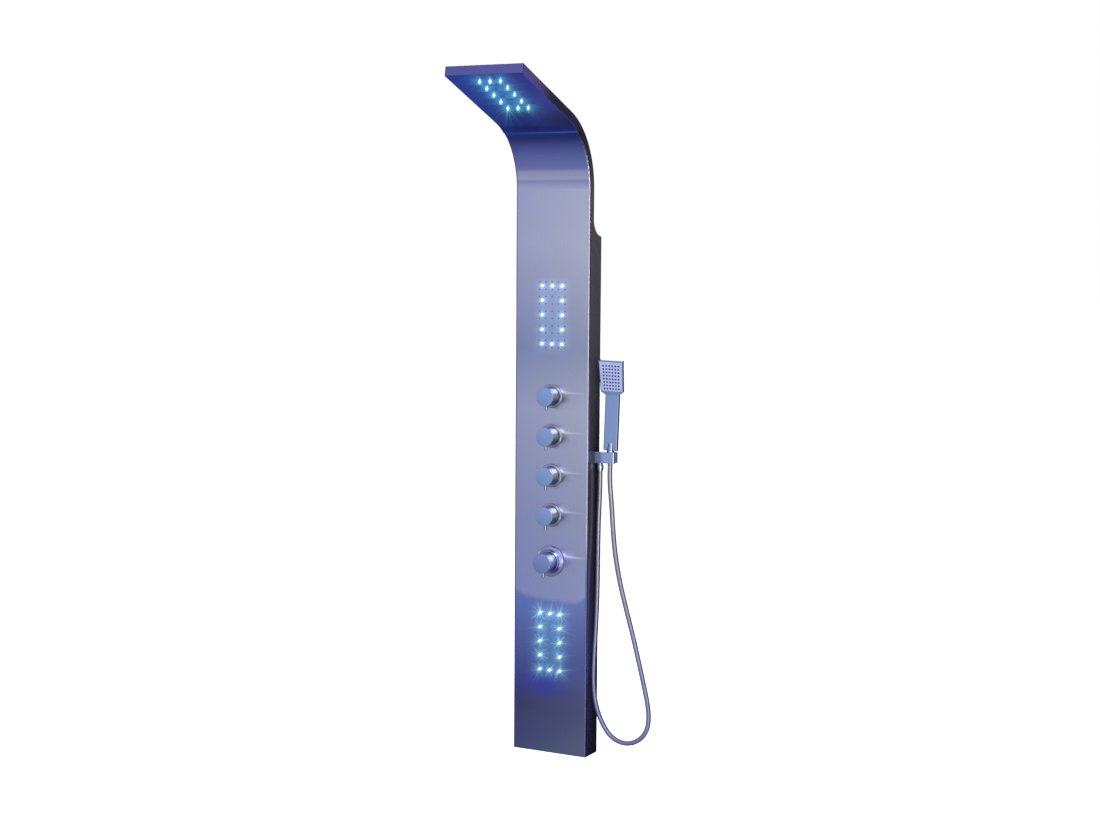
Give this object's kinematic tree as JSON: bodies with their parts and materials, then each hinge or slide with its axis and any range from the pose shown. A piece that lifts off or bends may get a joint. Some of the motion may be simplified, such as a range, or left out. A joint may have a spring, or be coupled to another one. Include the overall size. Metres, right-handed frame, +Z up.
{
  "type": "shower panel column",
  "caption": "Wall-mounted shower panel column with an overhanging spray head, lit jet grids, valve knobs, a mixer knob, and a handset and hose on a side holder.",
  "frame": {"origin": "middle between the upper wall bracket's screw holes, on the bracket's back face where it meets the wall", "axes": "+Z up along the column, +Y into the wall, +X to the right seen from the front, towards the handset"},
  "size_m": [0.3555, 0.403, 1.6481],
  "materials": {
    "panel_steel": "fine brushed, satin",
    "side_steel": "gloss black",
    "back_steel": "plain mill finish",
    "rail_steel": "zinc plated",
    "nozzle_rubber": "matt",
    "chamber_plastic": "matt",
    "lens_clear": "clear, lit blue",
    "board": "satin",
    "brass": "machined",
    "chrome": "polished",
    "dark_plastic": "moulded",
    "rotor_plastic": "moulded",
    "hose_rubber": "matt",
    "braid_steel": "braided",
    "cable_black": "matt",
    "holder_chrome": "polished",
    "hose_steel": "polished spiral",
    "handset_satin": "plated, satin",
    "handset_face": "satin"
  },
  "bodies": {
    "panel": {"front_panel": "panel_steel", "head_face_plate": "panel_steel", "nose_cap": "panel_steel", "rear_cover": "back_steel", "left_side_wall": "side_steel", "right_side_wall": "side_steel", "bottom_cap": "back_steel", "upper_hanger_rail": "rail_steel", "lower_hanger_rail": "rail_steel", "upper_wall_bracket": "rail_steel", "lower_wall_bracket": "rail_steel", "head_nozzle_mat": "nozzle_rubber", "upper_nozzle_mat": "nozzle_rubber", "lower_nozzle_mat": "nozzle_rubber", "head_spray_chamber": "chamber_plastic", "upper_spray_chamber": "chamber_plastic", "lower_spray_chamber": "chamber_plastic", "led_lenses": "lens_clear", "led_boards": "board", "valve_manifold": "brass", "valve_cartridges": "brass", "valve_escutcheons": "chrome", "cartridge_nuts": "brass", "mixer_body": "brass", "mixer_cartridge": "brass", "mixer_escutcheon": "chrome", "mixer_nut": "chrome", "generator_housing": "dark_plastic", "generator_cover": "dark_plastic", "head_supply_hose": "hose_rubber", "jet_supply_hoses": "hose_rubber", "handset_supply_hose": "hose_rubber", "inlet_hoses": "braid_steel", "inlet_nuts": "chrome", "led_cables": "cable_black", "holder_block": "holder_chrome", "holder_backnut": "brass", "hose_nut": "chrome", "shower_hose": "hose_steel"},
    "knob_body_1": {"knob_1": "chrome", "knob_pin_1": "chrome", "spindle_1": "brass"},
    "knob_body_2": {"knob_2": "chrome", "knob_pin_2": "chrome", "spindle_2": "brass"},
    "knob_body_3": {"knob_3": "chrome", "knob_pin_3": "chrome", "spindle_3": "brass"},
    "knob_body_4": {"knob_4": "chrome", "knob_pin_4": "chrome", "spindle_4": "brass"},
    "mixer_knob_body": {"mixer_knob": "chrome", "mixer_pin": "chrome", "mixer_spindle": "brass"},
    "rotor_body": {"generator_rotor": "rotor_plastic"},
    "cone_body": {"hose_cone": "chrome"},
    "handset": {"handset_body": "handset_satin", "handset_face": "handset_face", "handset_nozzles": "nozzle_rubber"}
  },
  "joints": [
    {"name": "knob_1_turn", "type": "hinge", "parent": "panel", "child": "knob_body_1", "pos_m": [0, -0.083, -0.317], "axis": [0, -1, 0], "range_deg": [0, 90]},
    {"name": "knob_2_turn", "type": "hinge", "parent": "panel", "child": "knob_body_2", "pos_m": [0, -0.083, -0.414], "axis": [0, -1, 0], "range_deg": [0, 90]},
    {"name": "knob_3_turn", "type": "hinge", "parent": "panel", "child": "knob_body_3", "pos_m": [0, -0.083, -0.511], "axis": [0, -1, 0], "range_deg": [0, 90]},
    {"name": "knob_4_turn", "type": "hinge", "parent": "panel", "child": "knob_body_4", "pos_m": [0, -0.083, -0.608], "axis": [0, -1, 0], "range_deg": [0, 90]},
    {"name": "mixer_turn", "type": "hinge", "parent": "panel", "child": "mixer_knob_body", "pos_m": [0, -0.09, -0.722], "axis": [0, -1, 0], "range_deg": [-90, 90]},
    {"name": "rotor_spin", "type": "hinge", "parent": "panel", "child": "rotor_body", "pos_m": [0, -0.031, -0.667], "axis": [0, 1, 0], "continuous": true},
    {"name": "handset_lift", "type": "slide", "parent": "panel", "child": "cone_body", "axis": [0.0332, 0, 0.9995], "range_m": [0, 0.045]},
    {"name": "handset_swivel", "type": "hinge", "parent": "cone_body", "child": "handset", "pos_m": [0.1363, -0.013, -0.464], "axis": [0.0332, 0, 0.9995], "range_deg": [-20, 20]}
  ]
}
